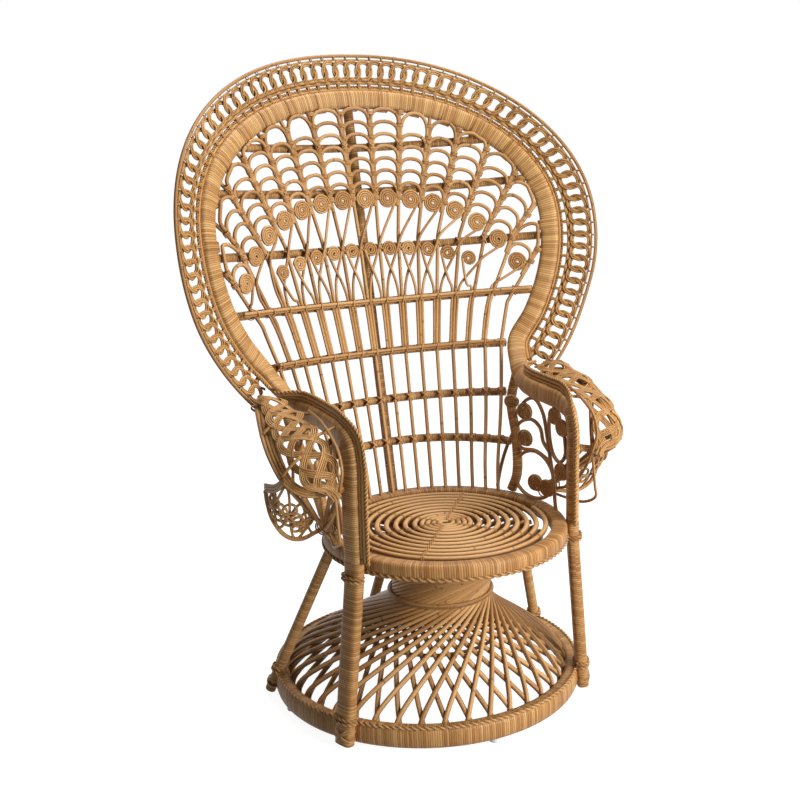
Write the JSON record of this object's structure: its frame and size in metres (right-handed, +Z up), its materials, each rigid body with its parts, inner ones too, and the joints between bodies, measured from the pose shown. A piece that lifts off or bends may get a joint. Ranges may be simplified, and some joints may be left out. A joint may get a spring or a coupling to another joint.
{
  "type": "rattan peacock chair",
  "caption": "High round-backed rattan armchair with a lace-edged fan back, rolled scroll arms, a wound round seat and a waisted strand skirt on a ring base.",
  "frame": {"origin": "on the floor below the middle of the chair's width and depth", "axes": "+Z up, the sitter faces -Y, +X is on the right of someone looking at the front"},
  "size_m": [1.0398, 0.7822, 1.4498],
  "materials": {
    "wrapped_cane": "rattan poles bound closely with split cane, clear varnish",
    "bare_rattan": "peeled round rattan strands, clear varnish",
    "lace_cane": "thin woven cane, clear varnish",
    "glide_plastic": "plain white plastic"
  },
  "bodies": {
    "root": {"base_ring": "wrapped_cane", "glide_1": "glide_plastic", "glide_2": "glide_plastic", "glide_3": "glide_plastic", "glide_4": "glide_plastic", "seat_rim": "wrapped_cane", "seat_winding": "bare_rattan", "seat_pole_long": "bare_rattan", "seat_pole_rear": "bare_rattan", "seat_pole_front": "bare_rattan", "front_leg_right": "wrapped_cane", "rear_leg_right": "wrapped_cane", "front_leg_left": "wrapped_cane", "rear_leg_left": "wrapped_cane", "back_leg": "wrapped_cane", "skirt_inner": "bare_rattan", "skirt_outer": "bare_rattan", "waist_hoop": "bare_rattan", "inner_hoop": "bare_rattan", "main_hoop": "wrapped_cane", "neck_post_right": "wrapped_cane", "neck_post_left": "wrapped_cane", "back_post": "wrapped_cane", "back_bar_1": "wrapped_cane", "back_bar_2": "wrapped_cane", "back_bar_3": "wrapped_cane", "back_bar_4": "wrapped_cane", "back_bar_5": "wrapped_cane", "back_bar_6": "wrapped_cane", "back_bar_7": "wrapped_cane", "front_rail_4": "bare_rattan", "front_rail_5": "bare_rattan", "border_edge": "lace_cane", "border_strand": "lace_cane", "border_lace_front": "lace_cane", "border_lace_back": "lace_cane", "feather_1": "bare_rattan", "feather_2": "bare_rattan", "feather_3": "bare_rattan", "feather_4": "bare_rattan", "feather_5": "bare_rattan", "feather_6": "bare_rattan", "feather_7": "bare_rattan", "feather_8": "bare_rattan", "feather_9": "bare_rattan", "feather_10": "bare_rattan", "feather_11": "bare_rattan", "feather_12": "bare_rattan", "feather_13": "bare_rattan", "feather_14": "bare_rattan", "feather_15": "bare_rattan", "feather_16": "bare_rattan", "arm_panel_right": "bare_rattan", "arm_roll_rim_right": "lace_cane", "arm_roll_lace_right": "lace_cane", "arm_wing_right": "lace_cane", "arm_panel_left": "bare_rattan", "arm_roll_rim_left": "lace_cane", "arm_roll_lace_left": "lace_cane", "arm_wing_left": "lace_cane"}
  },
  "joints": []
}
